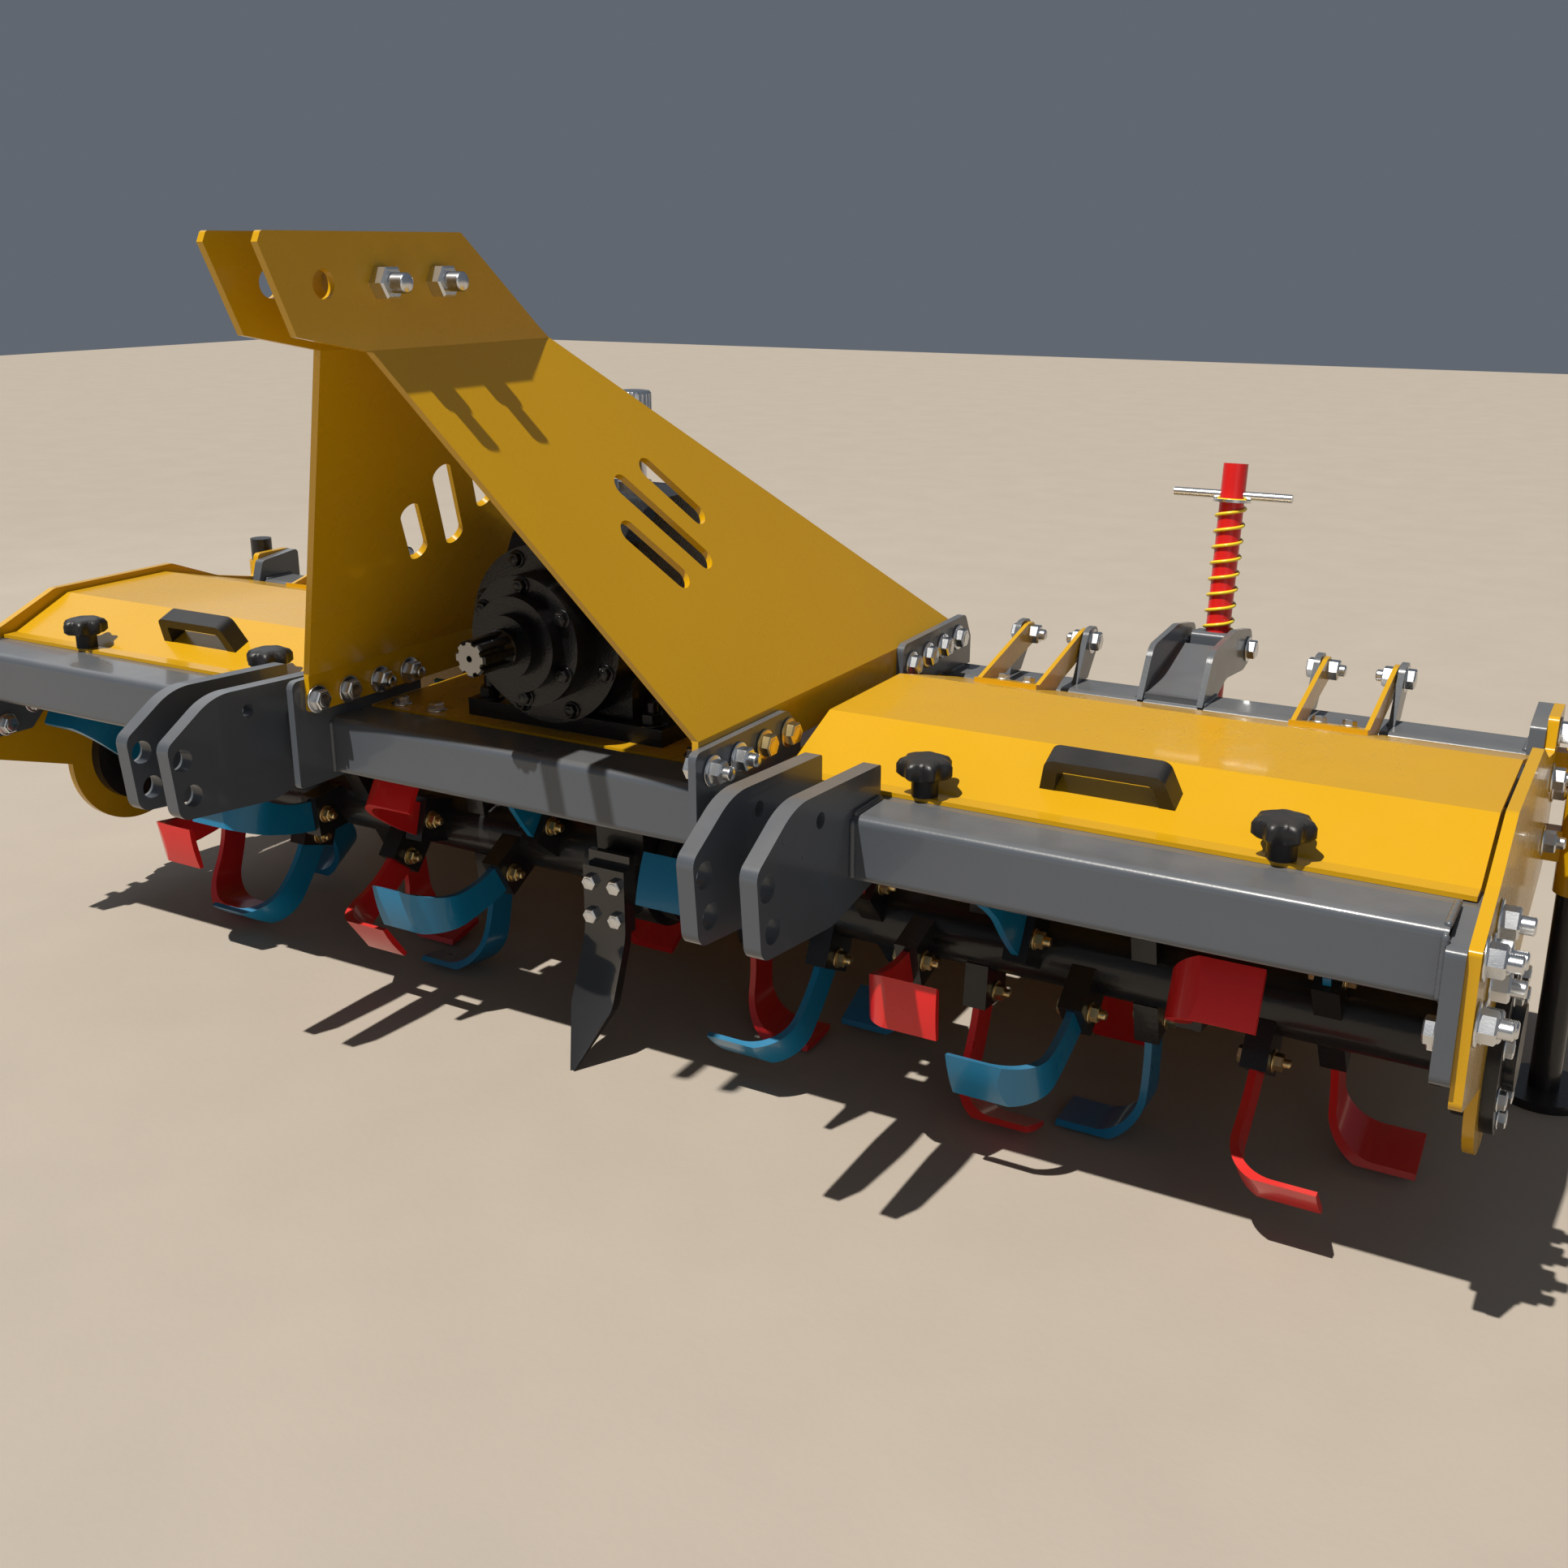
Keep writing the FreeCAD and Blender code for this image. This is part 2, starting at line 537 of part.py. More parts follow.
def spring_rods():
    centre = V(rod_x, trunnion_y, trunnion_z)
    eye = V(rod_x, eye_y, eye_z)
    above = (rod_top_z - trunnion_z) / rod_up.z
    length = (centre - eye).Length + above
    bore = Part.makeCylinder(rod_r + running, 200, centre - rod_up * 100, rod_up)
    block = prism([(-26, -20, 8), (26, -20, 8), (26, 20, 8), (-26, 20, 8)], centre - X * trunnion_half,
                  rod_back, rod_up, X * 2 * trunnion_half)
    reach = bracket_half + bracket_t
    pins = bar_x(rod_x - reach, rod_x + reach, trunnion_y, trunnion_z, trunnion_pin_r)
    trunnion = fuse([block, pins]).cut(bore)
    hole = bar_x(rod_x - reach, rod_x + reach, trunnion_y, trunnion_z, trunnion_pin_r + running)
    arch = [(rear_y, 0), (rear_back, 0), (rear_back + 40, 14, 40), (trunnion_y - 16, trunnion_z - 27, 12),
            (trunnion_y + 26, trunnion_z - 18, 22), (trunnion_y + 20, trunnion_z + 26, 22),
            (trunnion_y - 70, 74, 60), (rear_y + 40, 66, 30)]
    plates = []
    for x0 in (rod_x - reach, rod_x + bracket_half):
        plates.append(plate_x(arch, x0, x0 + bracket_t).cut(hole))
    pad = box(rod_x - bracket_half, rod_x + bracket_half, rear_y + 8, rear_back - 8, 0, 8)
    bracket = fuse(plates + [pad])
    cross = centre + rod_up * (246 - trunnion_z)
    pin_r = 6.0
    bar = Part.makeCylinder(rod_r, length - 22, eye + rod_up * 22, rod_up)
    ring = bar_x(rod_x - 10, rod_x + 10, eye_y, eye_z, 26)
    rod = fuse([bar, ring]).cut(bar_x(rod_x - 10, rod_x + 10, eye_y, eye_z, 14))
    pin = Part.makeCylinder(pin_r, 165, cross - X * 82.5, X)
    rod = rod.cut(Part.makeCylinder(pin_r + fit, 100, cross - X * 50, X))
    washer = Part.makeCylinder(spring_out + 4, 4, cross - rod_up * (pin_r + 4), rod_up)
    washer = washer.cut(Part.makeCylinder(rod_r + fit, 40, cross - rod_up * 20, rod_up))
    start = centre + rod_up * (20 + seat)
    coil_length = (cross - rod_up * (pin_r + 4) - start).Length
    coil = Part.makeCylinder(spring_out, coil_length, start, rod_up)
    coil = coil.cut(Part.makeCylinder(spring_out - spring_wire + 0.3, coil_length, start, rod_up))
    made = {"spring_brackets": Part.makeCompound([bracket, mirror(bracket)])}
    for name, shape in (("trunnion", trunnion), ("spring_rod", rod), ("rod_spring", coil),
                        ("rod_cross_pin", Part.makeCompound([pin, washer]))):
        made.update(both_sides(name, shape))
    return made


def legs():
    arms = [box(plate_x1, leg_x - 8, leg_y - 12, leg_y + 12, z, z + 40) for z in (-2 * beam, -50)]
    sleeve = fuse([bar_z(sleeve_low, sleeve_high, leg_x, leg_y, sleeve_r)] + arms)
    sleeve = sleeve.cut(bar_z(sleeve_low, sleeve_high, leg_x, leg_y, leg_r + running))
    leg = fuse([bar_z(ground_z + foot_t, sleeve_high + 40, leg_x, leg_y, leg_r),
                bar_z(ground_z, ground_z + foot_t, leg_x, leg_y, foot_r)])
    made = both_sides("parking_leg", leg)
    made["leg_sleeves"] = Part.makeCompound([sleeve, mirror(sleeve)])
    return made


for group in (beams, side_plates, bearing_housings, rotor, gear_case, share, mast, hitch_plates, gearbox,
              hatches, board, spring_rods, legs):
    export(group())
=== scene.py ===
import math

import bpy
from mathutils import Matrix, Vector
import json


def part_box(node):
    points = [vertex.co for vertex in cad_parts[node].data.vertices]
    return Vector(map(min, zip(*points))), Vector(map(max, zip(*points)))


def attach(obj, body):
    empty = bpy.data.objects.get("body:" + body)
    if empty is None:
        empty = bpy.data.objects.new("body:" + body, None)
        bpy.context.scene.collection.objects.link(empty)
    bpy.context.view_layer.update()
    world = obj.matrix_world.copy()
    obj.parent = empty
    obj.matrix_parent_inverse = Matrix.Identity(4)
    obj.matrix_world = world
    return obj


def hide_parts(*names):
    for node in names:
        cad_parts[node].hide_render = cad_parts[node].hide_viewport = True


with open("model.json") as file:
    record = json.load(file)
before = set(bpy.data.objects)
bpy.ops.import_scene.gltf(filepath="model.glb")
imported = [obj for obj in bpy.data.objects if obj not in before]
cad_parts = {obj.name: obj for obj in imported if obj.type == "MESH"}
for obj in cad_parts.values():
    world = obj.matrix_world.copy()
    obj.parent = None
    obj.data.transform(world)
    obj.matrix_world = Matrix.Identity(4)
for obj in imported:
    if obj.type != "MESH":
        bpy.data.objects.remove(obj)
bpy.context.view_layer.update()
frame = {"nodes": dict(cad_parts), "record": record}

# Places are in millimetres from the top front edge of the front beam, on the centre line.
beam_low, beam_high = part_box("front_beam")
datum = Vector((0, beam_low[1], beam_high[2]))
X, Y, Z = Vector((1, 0, 0)), Vector((0, 1, 0)), Vector((0, 0, 1))
MM = 0.001
SIDES = (("right", 1), ("left", -1))

# Camera of the photograph
camera_place = Vector((1197, -1436, 577))
camera_ahead = Vector((-0.474, 0.830, -0.293)).normalized()
focal_px, frame_px, centre_px_y = 1986.0, 1932.0, 913.7
sensor = 36.0

# Beams and end plates, and the bolts through them as (y, z)
beam, beam_pitch = 75, 600
rear_y = beam_pitch + 6
beam_end, plate_out = 1056, 1086
end_bolts = ((20, -30), (20, -95), (80, -50), (80, -120), (118, -30), (118, -95))
end_bolt_heads = ((20, -110), (60, -135), (112, -110))
rear_end_bolts = ((612, -30), (612, -110), (668, -60), (640, 20))
bearing_flange, bearing_bolt_r = 14, 78

# Mast, its lugs and the lower link plates
mast_head, mast_pin_z, mast_pin_ys = 39, 544, (-205, -123)
lug_in, lug_out, lug_bolt_z = 284.6, 302.6, 33
lug_ys_zinc, lug_ys_gold = (-27.5, 27.5), (84.5, 140)
rear_lug_bolts = ((476, 41), (527, 43), (577, 45), (628, 47))
lug_seam_xs = (292, 303)
hitch_inner, hitch_outer, hitch_t = 366, 439, 20

# Gearbox, rotor and share
shaft_z, cap_front, flange_front, cover_back = 128, 35, 75, 454
cap_bolt_r, flange_bolt_r, cover_bolt_r, cover_rise = 68, 97, 66, 15
foot_x, foot_top, foot_ys = 126, 22, (118, 200, 300, 410)
deck_bolt_xs, deck_bolt_ys = (-260, -200, 200, 260), (96, 580)
oil_y, filler_z, oil_cap_z = 273, 285, 377
axis_y, axis_z = 300, -240
station_first, station_pitch, station_count = 150, 70, 12
rotor_start, station_turn, side_turn = 20, 67, 33
holder_half, bolt_reach = 15, 74
share_face_y, share_bolt_xs, share_bolt_zs = 176, (-20, 20), (-232, -280)

# Covers: the pairs of bracket ears, their hinge, and the slope of the arms that carry them
ear_pairs = ((384, 472), (797, 890))
ear_t, hinge_lug_t = 6, 8
hinge_y, hinge_z = 690, 50
ear_seam_start, ear_seam_end = (636, 1), (672, 1)
arm_slope = math.atan2(-46, 183)
arm_start_y, arm_start_z, arm_bolt_y, arm_bolt_x = 400, 48, 538, 18
knob_xs, knob_y, cover_z = (500, 886), 96, 2

# Spring rods behind
rod_x, trunnion_y, trunnion_z = 620.5, 820, 33
bracket_half, bracket_t = 36.5, 8
rod_up = Vector((0, 27, 233)).normalized()


def at(x, y, z):
    return datum + Vector((x, y, z)) * MM


def make_camera():
    data = bpy.data.cameras.new("camera")
    data.sensor_width = sensor
    data.lens = sensor * focal_px / frame_px
    data.shift_y = (centre_px_y - frame_px / 2) / frame_px
    camera = bpy.data.objects.new("camera", data)
    right = camera_ahead.cross(Z).normalized()
    up = right.cross(camera_ahead)
    turn = Matrix((right, up, -camera_ahead)).transposed().to_4x4()
    camera.matrix_world = Matrix.Translation(at(*camera_place)) @ turn
    bpy.context.collection.objects.link(camera)
    bpy.context.scene.camera = camera


def make_light(name, kind, place, target, energy, colour, size):
    data = bpy.data.lights.new(name, kind)
    data.energy, data.color = energy, colour
    if kind == "SUN":
        data.angle = size
    else:
        data.size = size
    lamp = bpy.data.objects.new(name, data)
    lamp.location = place
    lamp.rotation_euler = (Vector(target) - Vector(place)).to_track_quat("-Z", "Y").to_euler()
    bpy.context.collection.objects.link(lamp)


def make_studio():
    make_light("sun", "SUN", (-0.6, -1.72, 3.56), (0, 0, 0), 5.0, (1.0, 0.95, 0.88), 0.012)
    make_light("sky_left", "AREA", (-3.4, 1.2, 2.6), (0, 0, 0.4), 16, (0.85, 0.92, 1.0), 3.0)
    make_light("sky_front", "AREA", (3.4, -3.2, 1.8), (0, 0, 0.4), 12, (1.0, 0.97, 0.92), 3.0)
    bpy.context.scene.view_settings.view_transform = "Standard"
    world = bpy.data.worlds.new("world")
    world.use_nodes = True
    world.node_tree.nodes["Background"].inputs[0].default_value = (0.70, 0.80, 0.95, 1)
    world.node_tree.nodes["Background"].inputs[1].default_value = 0.17
    bpy.context.scene.world = world
    mesh = bpy.data.meshes.new("floor")
    half = 14.0
    corners = [(-half, -half, 0), (half, -half, 0), (half, half, 0), (-half, half, 0)]
    mesh.from_pydata(corners, [], [(0, 1, 2, 3)])
    floor = bpy.data.objects.new("floor", mesh)
    bpy.context.collection.objects.link(floor)
    floor.data.materials.append(plain("floor_paint", (0.38, 0.335, 0.28), roughness=0.85, bump=0.3, grain=90))


def plain(name, colour, roughness=0.4, metallic=0.0, coat=0.0, bump=0.0, grain=120.0, spread=0.06, dust=0.0):
    """Painted, plated or moulded surface: uneven colour and gloss, fine grain, and dust on top."""
    mat = bpy.data.materials.new(name)
    mat.use_nodes = True
    tree = mat.node_tree
    nodes, links = tree.nodes, tree.links
    shader = nodes["Principled BSDF"]
    shader.inputs["Metallic"].default_value = metallic
    shader.inputs["Specular IOR Level"].default_value = 0.35
    shader.inputs["Coat Weight"].default_value = coat
    shader.inputs["Coat Roughness"].default_value = 0.06
    coords = nodes.new("ShaderNodeTexCoord")

    def noise(scale, detail=3.0):
        node = nodes.new("ShaderNodeTexNoise")
        node.inputs["Scale"].default_value = scale
        node.inputs["Detail"].default_value = detail
        links.new(coords.outputs["Object"], node.inputs["Vector"])
        return node.outputs["Fac"]

    ramp = nodes.new("ShaderNodeMapRange")
    ramp.inputs["To Min"].default_value = 1 - spread
    ramp.inputs["To Max"].default_value = 1 + spread
    links.new(noise(5.0), ramp.inputs["Value"])
    tint = nodes.new("ShaderNodeVectorMath")
    tint.operation = "SCALE"
    tint.inputs[0].default_value = colour
    links.new(ramp.outputs["Result"], tint.inputs["Scale"])
    final = tint.outputs["Vector"]
    if dust > 0:
        geometry = nodes.new("ShaderNodeNewGeometry")
        split = nodes.new("ShaderNodeSeparateXYZ")
        links.new(geometry.outputs["Normal"], split.inputs["Vector"])
        upward = nodes.new("ShaderNodeMapRange")
        upward.inputs["From Min"].default_value = 0.55
        upward.inputs["To Max"].default_value = dust
        links.new(split.outputs["Z"], upward.inputs["Value"])
        patches = nodes.new("ShaderNodeMath")
        patches.operation = "MULTIPLY"
        links.new(upward.outputs["Result"], patches.inputs[0])
        links.new(noise(14.0, 6.0), patches.inputs[1])
        mix = nodes.new("ShaderNodeMix")
        mix.data_type = "RGBA"
        mix.inputs["B"].default_value = (0.42, 0.38, 0.32, 1)
        links.new(patches.outputs["Value"], mix.inputs["Factor"])
        links.new(final, mix.inputs["A"])
        final = mix.outputs["Result"]
    links.new(final, shader.inputs["Base Color"])
    gloss = nodes.new("ShaderNodeMapRange")
    gloss.inputs["To Min"].default_value = roughness * 0.75
    gloss.inputs["To Max"].default_value = min(1.0, roughness * 1.3)
    links.new(noise(22.0, 5.0), gloss.inputs["Value"])
    links.new(gloss.outputs["Result"], shader.inputs["Roughness"])
    height = nodes.new("ShaderNodeBump")
    height.inputs["Distance"].default_value = 0.001
    height.inputs["Strength"].default_value = bump
    links.new(noise(grain, 2.0), height.inputs["Height"])
    links.new(height.outputs["Normal"], shader.inputs["Normal"])
    return mat


yellow = plain("yellow_paint", (0.56, 0.305, 0.002),
               0.27, coat=0.3, grain=260, bump=0.06, spread=0.05, dust=0.04)
grey = plain("frame_paint", (0.075, 0.086, 0.102),
             0.3, coat=0.4, grain=240, bump=0.1, spread=0.1, dust=0.25)
black = plain("black_paint", (0.012, 0.012, 0.013),
              0.3, coat=0.2, grain=170, bump=0.35, spread=0.2, dust=0.05)
cast = plain("cast_black", (0.004, 0.004, 0.0045),
             0.24, coat=0.12, grain=420, bump=0.5, spread=0.2, dust=0.04)
gloss_black = plain("gloss_black", (0.02, 0.02, 0.021),
                    0.12, coat=0.8, grain=60, bump=0.25, spread=0.2)
zinc = plain("zinc", (0.72, 0.74, 0.76), 0.27, metallic=1.0, grain=600, bump=0.08, spread=0.1)
gold = plain("yellow_zinc", (0.72, 0.56, 0.28),
             0.3, metallic=1.0, grain=600, bump=0.08, spread=0.15)
steel = plain("bare_steel", (0.34, 0.33, 0.31),
              0.3, metallic=1.0, grain=500, bump=0.15, spread=0.15)
# Near-black copy of the bare steel, used as painted shade on the sides of the splined shaft.
painted_shade_steel = plain("painted_shade_steel", (0.05, 0.049, 0.047),
                   0.28, metallic=0.9, grain=500, bump=0.15, spread=0.2)
blue = plain("blue_paint", (0.002, 0.165, 0.33),
             0.3, coat=0.3, grain=220, bump=0.12, spread=0.1, dust=0.2)
red = plain("red_paint", (0.62, 0.012, 0.012),
            0.3, coat=0.3, grain=220, bump=0.12, spread=0.12, dust=0.15)
plastic = plain("black_plastic", (0.014, 0.014, 0.015),
                0.38, grain=900, bump=0.2, spread=0.15, dust=0.1)
spring_paint = plain("spring_paint", (0.80, 0.60, 0.03), 0.3, coat=0.3, grain=300, bump=0.05)

slot_paint = {"yellow_paint": yellow, "frame_paint": grey, "black_paint": black, "zinc": zinc,
              "bare_steel": steel, "blue_paint": blue, "red_paint": red, "black_plastic": plastic,
              "spring_yellow": spring_paint}
own_paint = (("gearbox", cast), ("parking_leg", black), ("share", gloss_black))


def paint_frame():
    """Each solid gets its slot's paint, or the one that its name asks for."""
    slots = {row["node"]: row["material_slot"] for row in frame["record"]["subparts"]}
    for name, obj in frame["nodes"].items():
        chosen = slot_paint[slots[name]]
        for start, paint in own_paint:
            if name.startswith(start):
                chosen = paint
        if not obj.material_slots:
            obj.data.materials.append(chosen)
        for slot in obj.material_slots:
            slot.material = chosen


def quads(rings, sides):
    """Corners a, b on one ring of points and c, d on the next, for every square between them."""
    for i in range(rings - 1):
        for k in range(sides):
            nxt = (k + 1) % sides
            yield i * sides + k, i * sides + nxt, (i + 1) * sides + nxt, (i + 1) * sides + k


def disc(ring, sides):
    """Face over a whole ring of points."""
    return [ring * sides + k for k in range(sides)]


class Builder:
    """Collects many small solids into one mesh."""

    def __init__(self):
        self.points, self.faces, self.smooth = [], [], []

    def add(self, points, faces, smooth=True):
        base = len(self.points)
        self.points += [tuple(p) for p in points]
        self.faces += [[base + i for i in f] for f in faces]
        self.smooth += [smooth] * len(faces)

    def lathe(self, place, axis, steps, sides=24, smooth=True):
        """Solid of revolution through (along, radius) steps in millimetres."""
        turn = axis.normalized().to_track_quat("Z", "Y").to_matrix()
        points = []
        for along, radius in steps:
            for k in range(sides):
                a = math.tau * k / sides
                local = Vector((radius * math.cos(a), radius * math.sin(a), along)) * MM
                points.append(place + turn @ local)
        faces = [*quads(len(steps), sides), disc(0, sides)[::-1], disc(len(steps) - 1, sides)]
        self.add(points, faces, smooth)

    def hexagon(self, place, axis, size, height):
        """Hexagon head or nut with its chamfered corners."""
        corner = size * 0.866
        steps = ((0, corner), (height - 0.1 * size, corner), (height, corner * 0.86))
        self.lathe(place, axis, steps, 6, False)

    def bolt(self, place, axis, size, stub=0.0, washer=True):
        """Washer and head, or with a stub a nut and the bolt's end. The thread is size millimetres wide."""
        base = 0.0
        if washer:
            base = 0.16 * size
            wide = 1.12 * size
            self.lathe(place, axis, ((0, wide), (base * 0.8, wide), (base, 1.06 * size)), 24)
        height = (0.85 if stub else 0.65) * size
        self.hexagon(place + axis * base * MM, axis, size, height)
        if stub:
            steps = [(base + height - 1, size * 0.42)]
            along = base + height
            while along < base + height + stub - 1.2:
                steps += [(along, size * 0.5), (along + 1.0, size * 0.43)]
                along += 2.0
            steps.append((base + height + stub, size * 0.38))
            self.lathe(place, axis, steps, 16)
        else:
            top = place + axis * (base + height) * MM
            self.lathe(top, axis, ((-0.4, size * 0.62), (0.35, size * 0.5)), 20)

    def tube(self, path, radius, sides=10):
        """Round bar along a list of points."""
        points = []
        side = None
        for i, p in enumerate(path):
            ahead = (path[min(i + 1, len(path) - 1)] - path[max(i - 1, 0)]).normalized()
            if side is None:
                side = ahead.orthogonal().normalized()
            side = (side - ahead * side.dot(ahead)).normalized()
            other = ahead.cross(side)
            for k in range(sides):
                a = math.tau * k / sides
                points.append(p + (side * math.cos(a) + other * math.sin(a)) * radius * MM)
        self.add(points, [*quads(len(path), sides), disc(0, sides)[::-1], disc(len(path) - 1, sides)])

    def weld(self, start, end, radius=4.0):
        """Weld bead: a line of overlapping ripples."""
        length = (end - start).length / MM
        count = max(3, int(length / 2.2))
        steps = []
        for i in range(count + 1):
            swell = 0.82 + 0.18 * abs(math.sin(i * 1.35))
            steps.append((length * i / count, radius * (0.4 if i in (0, count) else swell)))
        self.lathe(start, end - start, steps, 8)

    def build(self, name, material, body):
        mesh = bpy.data.meshes.new(name)
        mesh.from_pydata(self.points, [], self.faces)
        mesh.polygons.foreach_set("use_smooth", self.smooth)
        mesh.materials.append(material)
        obj = bpy.data.objects.new(name, mesh)
        bpy.context.collection.objects.link(obj)
        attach(obj, body)
        return obj


def sharpen(obj, degrees):
    """Edges sharper than this angle stay crisp."""
    bpy.context.view_layer.objects.active = obj
    obj.select_set(True)
    bpy.ops.object.shade_smooth_by_angle(angle=math.radians(degrees))
    obj.select_set(False)


def bolt_circle(builder, centre, radius, count, axis, size):
    """Heads on a circle round centre, given in millimetres, in a plane across the axis Y or X."""
    x, y, z = centre
    for k in range(count):
        a = math.tau * (k + 0.5) / count
        across, rise = radius * math.cos(a), radius * math.sin(a)
        place = at(x + across, y, z + rise) if axis.x == 0 else at(x, y + across, z + rise)
        builder.bolt(place, axis, size)


def frame_bolts():
    zincs, golds = Builder(), Builder()
    for y in mast_pin_ys:
        for sign in (1, -1):
            stub = 18 if sign > 0 else 0
            zincs.bolt(at(sign * mast_head, y, mast_pin_z), X * sign, 20, stub=stub, washer=False)
    for sign in (1, -1):
        side = X * sign
        for y in lug_ys_zinc:
            zincs.bolt(at(sign * lug_out, y, lug_bolt_z), side, 16, stub=10)
            zincs.bolt(at(sign * lug_in, y, lug_bolt_z), side * -1, 16)
        for y in lug_ys_gold:
            golds.bolt(at(sign * lug_out, y, lug_bolt_z), side, 16)
            zincs.bolt(at(sign * lug_in, y, lug_bolt_z), side * -1, 16, stub=8)
        for y, z in rear_lug_bolts:
            zincs.bolt(at(sign * lug_out, y, z), side, 16)
            zincs.bolt(at(sign * lug_in, y, z), side * -1, 16, stub=8)
        for y, z in end_bolts:
            zincs.bolt(at(sign * plate_out, y, z), side, 19, stub=14)
        for y, z in rear_end_bolts:
            zincs.bolt(at(sign * plate_out, y, z), side, 16, stub=10)
        for y, z in end_bolt_heads:
            zincs.bolt(at(sign * beam_end, y, z), side * -1, 16)
        hub = (sign * (plate_out + bearing_flange), axis_y, axis_z)
        bolt_circle(zincs, hub, bearing_bolt_r, 8, side, 12)
    for x in share_bolt_xs:
        for z in share_bolt_zs:
            zincs.bolt(at(x, share_face_y, z), Y * -1, 13, washer=False)
    golds.build("lug_bolts", gold, "frame")
    zincs.build("frame_bolts", zinc, "frame")


def gearbox_bolts():
    bolts = Builder()
    bolt_circle(bolts, (0, cap_front, shaft_z), cap_bolt_r, 6, Y * -1, 10)
    bolt_circle(bolts, (0, flange_front, shaft_z), flange_bolt_r, 8, Y * -1, 10)
    bolt_circle(bolts, (0, cover_back, shaft_z + cover_rise), cover_bolt_r, 8, Y, 10)
    for x in (-foot_x, foot_x):
        for y in foot_ys:
            bolts.bolt(at(x, y, foot_top), Z, 16, stub=14)
    bolts.build("gearbox_bolts", cast, "frame")
    heads = Builder()
    for x in deck_bolt_xs:
        for y in deck_bolt_ys:
            heads.bolt(at(x, y, 0), Z, 12)
    heads.build("deck_bolts", zinc, "frame")


def hinge_bolts():
    fixed = Builder()
    pin_half = bracket_half + bracket_t
    for sign in (1, -1):
        for x0, x1 in ear_pairs:
            for near, way in ((x0, -1), (x1, 1)):
                head, tail = near + way * hinge_lug_t, near - way * ear_t
                fixed.bolt(at(sign * head, hinge_y, hinge_z), X * sign * way, 16)
                fixed.bolt(at(sign * tail, hinge_y, hinge_z), X * sign * -way, 16, stub=8, washer=False)
        for way in (-1, 1):
            fixed.bolt(at(sign * (rod_x + way * pin_half), trunnion_y, trunnion_z), X * sign * way, 16)
    fixed.build("hinge_bolts", zinc, "frame")
    up = Vector((0, -math.sin(arm_slope), math.cos(arm_slope)))
    arm_bolt_z = arm_start_z + (arm_bolt_y - arm_start_y) * math.tan(arm_slope)
    for side, sign in SIDES:
        bolts = Builder()
        for x0, x1 in ear_pairs:
            middle = (x0 + x1) / 2
            for x in (middle - arm_bolt_x, middle + arm_bolt_x):
                bolts.bolt(at(sign * x, arm_bolt_y, arm_bolt_z) + up * ear_t * MM, up, 10)
        bolts.build("bracket_bolts_" + side, zinc, "hatch_" + side)


def tine_bolts():
    bolts = Builder()
    for i in range(station_count):
        for sign in (1, -1):
            x = sign * (station_first + station_pitch * i)
            turn = rotor_start + i * station_turn + (0 if sign > 0 else side_turn)
            for half_turn in (0, 180):
                a = math.radians(turn + half_turn)
                out = Vector((0, -math.sin(a), math.cos(a)))
                place = at(x, axis_y, axis_z) + out * bolt_reach * MM
                bolts.bolt(place + X * holder_half * MM, X, 12, stub=8)
                bolts.bolt(place - X * holder_half * MM, X * -1, 12)
    bolts.build("tine_bolts", gold, "rotor")


def star_knob(builder, place):
    """Seven-lobed knob with a domed top on a short neck, from rows of (height, lobe depth, radius)."""
    lobes, sides = 7, 84
    rows = ((0, 0.0, 15), (20, 0.0, 15), (22, 0.6, 26), (26, 1.0, 30), (36, 1.0, 30), (41, 0.8, 27),
            (44, 0.4, 20), (44, 0.0, 8))
    points = []
    for z, wave, radius in rows:
        for k in range(sides):
            a = math.tau * k / sides
            r = radius * (1 + 0.11 * wave * (math.cos(a * lobes) - 0.4))
            points.append(place + Vector((r * math.cos(a), r * math.sin(a), z)) * MM)
    builder.add(points, [*quads(len(rows), sides), disc(len(rows) - 1, sides), disc(0, sides)[::-1]])


def knobs():
    for side, sign in SIDES:
        builder = Builder()
        for x in knob_xs:
            star_knob(builder, at(sign * x, knob_y, cover_z))
        obj = builder.build("star_knobs_" + side, plastic, "hatch_" + side)
        sharpen(obj, 40)
        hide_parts("hatch_knobs_" + side)


def springs():
    """Coils of 4.8 mm wire round the rods, with flat turns at both ends."""
    low, high, turns, per_turn, radius, wire = 24.0, 206.0, 9.0, 28, 19.3, 2.4
    for side, sign in SIDES:
        centre = at(sign * rod_x, trunnion_y, trunnion_z)
        path = []
        count = int(turns * per_turn)
        for k in range(count + 1):
            a = math.tau * turns * k / count
            share = k / count
            rise = low + (high - low) * min(1, max(0, (share - 0.05) / 0.9))
            flat = X * math.cos(a) + rod_up.cross(X) * math.sin(a)
            path.append(centre + (flat * radius + rod_up * rise) * MM)
        builder = Builder()
        builder.tube(path, wire)
        obj = builder.build("coil_spring_" + side, spring_paint, "rod_" + side)
        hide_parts("rod_spring_" + side)


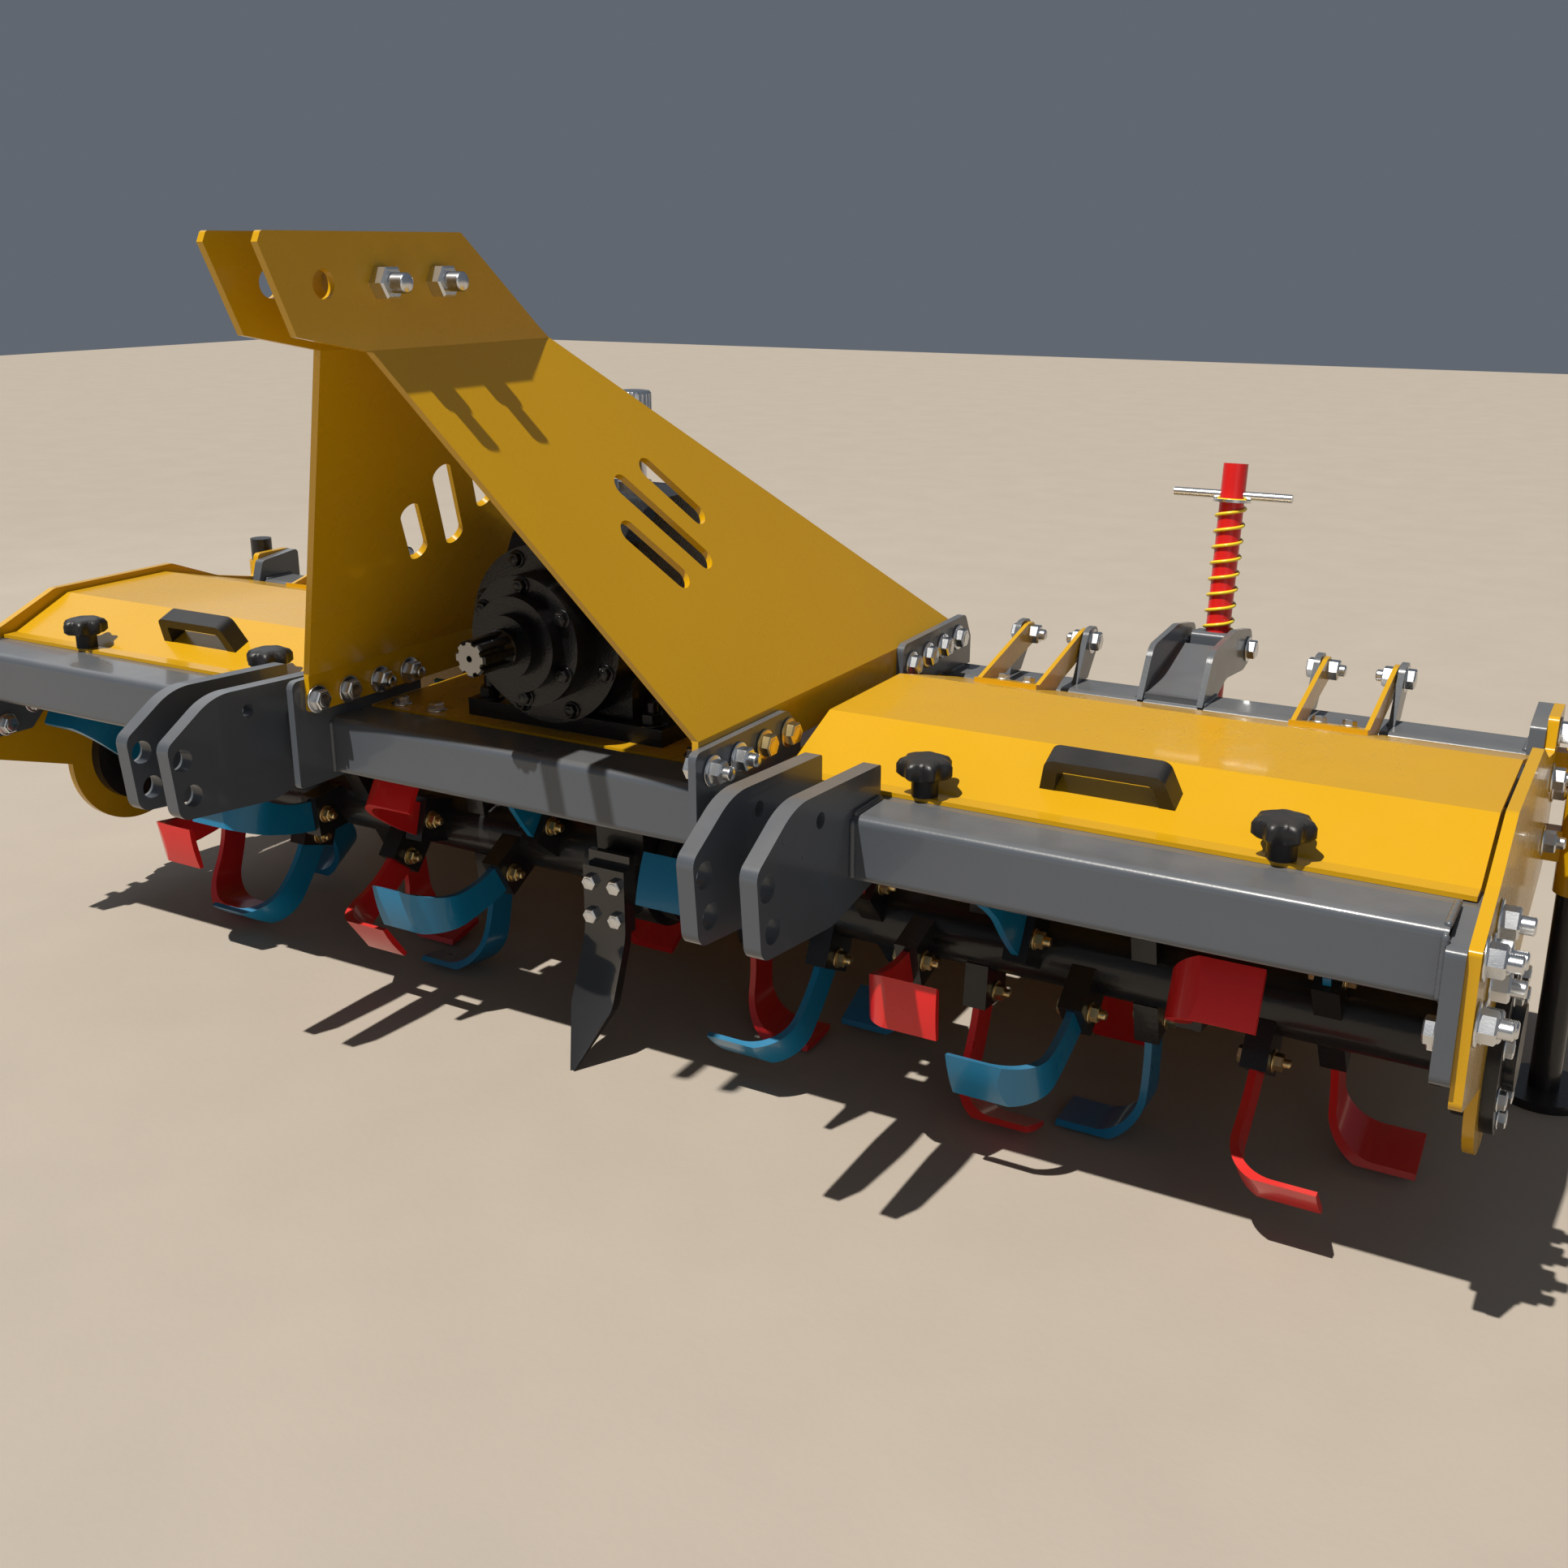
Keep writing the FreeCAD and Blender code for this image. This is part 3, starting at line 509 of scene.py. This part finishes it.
def splined_shaft():
    """Shaft end with a centre hole, from rows of (y, radius on a spline, radius between splines)."""
    teeth, sides, end_y = 8, 96, -64
    rows = ((-58, 3, 3), (end_y, 4, 4), (end_y, 19.5, 16.5), (-61.5, 22, 17.6), (-20, 22, 17.6),
            (-10, 22, 21.6), (-8, 22.9, 22.9), (16, 22.9, 22.9))
    points = []
    for y, outer, inner in rows:
        for k in range(sides):
            a = math.tau * k / sides
            r = outer if math.cos(a * teeth) > -0.1 else inner
            points.append(at(r * math.cos(a), y, shaft_z + r * math.sin(a)))
    faces = [(b, a, d, c) for a, b, c, d in quads(len(rows), sides)]
    builder = Builder()
    builder.add(points, [*faces, disc(len(rows) - 1, sides), disc(0, sides)[::-1]], False)
    obj = builder.build("splined_shaft", steel, "input")
    obj.data.materials.append(painted_shade_steel)
    face_y = at(0, end_y + 0.5, 0).y
    # Only the flat end face keeps the bright steel; the splines, chamfer and centre hole get the near-black
    # copy as painted shade.
    for polygon in obj.data.polygons:
        polygon.material_index = 1 if polygon.center.y > face_y else 0
    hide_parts("pto_shaft")


def y_on(path, z):
    """Place in y at height z on a path of (y, z) points that runs down."""
    for (y0, z0), (y1, z1) in zip(path, path[1:]):
        if z >= z1:
            break
    return y0 + (y1 - y0) * (z - z0) / (z1 - z0)


def share_blade():
    """Share point with a hollow face and raised edges, narrowing to its tip."""
    top, bottom, shoulder, half, tip = -210.0, -470.0, -395.0, 33.0, 3.0
    hollow_start, hollow_run = -295, 45
    front = ((share_face_y, top), (share_face_y, -305), (142, -390), (92, bottom))
    back = ((190, top), (190, -310), (158, shoulder), (96, bottom))
    rows, across, soften = 40, 16, 7.0
    points = []
    for i in range(rows + 1):
        z = top + (bottom - top) * i / rows
        reach = min(soften, top - z, z - bottom)
        y0, y1 = ((y_on(path, z + reach) + y_on(path, z - reach)) / 2 for path in (front, back))
        wide = half if z > shoulder else tip + (half - tip) * (z - bottom) / (shoulder - bottom)
        hollow = 0.5 * (y1 - y0) * min(1.0, max(0.0, (hollow_start - z) / hollow_run))
        shares = [2 * k / across - 1 for k in range(across + 1)]
        points += [at(wide * u, y0 + hollow * (1 - u * u), z) for u in shares]
        points += [at(wide * u, y1, z) for u in reversed(shares)]
    ring = 2 * (across + 1)
    faces = [(a, d, c, b) for a, b, c, d in quads(rows + 1, ring)]
    blade = Builder()
    blade.add(points, [*faces, disc(0, ring), disc(rows, ring)[::-1]])
    obj = blade.build("share_blade", gloss_black, "frame")
    sharpen(obj, 40)
    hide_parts("share_point")


def bracket_webs():
    """Sloping sheet between the two plates of each spring bracket."""
    webs = Builder()
    profile = ((608, 1), (614, 7), (690, 22), (772, 43), (774, 37), (692, 15), (616, 1))
    count = len(profile)
    for sign in (1, -1):
        points = [at(sign * rod_x + x, y, z) for x in (-bracket_half, bracket_half) for y, z in profile]
        webs.add(points, [*quads(2, count), disc(0, count), disc(1, count)[::-1]], False)
    webs.build("bracket_webs", grey, "frame")


def welds():
    """Beads in planes across the machine, each from one (y, z) to another."""
    beads = Builder()

    def seam(x, start, end, radius=4.0):
        beads.weld(at(x, *start), at(x, *end), radius)

    for sign in (1, -1):
        for x0 in (hitch_inner, hitch_outer):
            for x in (x0 - 2, x0 + hitch_t + 2):
                seam(sign * x, (-1, -70), (-1, -4))
                seam(sign * x, (4, 1), (66, 1))
        for x in lug_seam_xs:
            seam(sign * x, (-1, -72), (-1, -4))
            seam(sign * x, (rear_y, 1), (rear_y + 44, 1))
        end = sign * (beam_end - 2)
        seam(end, (-1, -70), (-1, -5))
        seam(end, (6, 0), (beam - 5, 0))
        seam(end, (rear_y, 0), (rear_y + 64, 0))
        for x in (bracket_half, bracket_half + bracket_t):
            for way in (-1, 1):
                seam(sign * (rod_x + way * x), (rear_y, 1), (rear_y + 64, 1), 3.5)
        for x0, x1 in ear_pairs:
            for x in (x0 - 10, x1 + 2):
                seam(sign * x, ear_seam_start, ear_seam_end, 3)
    beads.build("weld_beads", grey, "frame")


def breather():
    """Knurled cap on its filler neck, from rows of (height, radius, knurled or not)."""
    cap = Builder()
    sides = 72
    rows = ((0, 16, 0), (4, 24, 0), (6, 24, 1), (24, 24, 1), (27, 22, 0), (28, 15, 0))
    points = []
    for z, radius, knurl in rows:
        for k in range(sides):
            a = math.tau * k / sides
            r = radius * (1 - 0.05 * knurl * (k % 3 == 0))
            points.append(at(r * math.cos(a), oil_y + r * math.sin(a), oil_cap_z + z))
    cap.add(points, [*quads(len(rows), sides), disc(len(rows) - 1, sides)])
    cap.lathe(at(0, oil_y, filler_z), Z, ((0, 22), (6, 22), (8, 16), (oil_cap_z - filler_z, 16)))
    obj = cap.build("breather_cap", zinc, "frame")
    sharpen(obj, 30)
    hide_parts("oil_cap")


make_camera()
paint_frame()
make_studio()
frame_bolts()
gearbox_bolts()
hinge_bolts()
tine_bolts()
knobs()
springs()
splined_shaft()
share_blade()
bracket_webs()
welds()
breather()
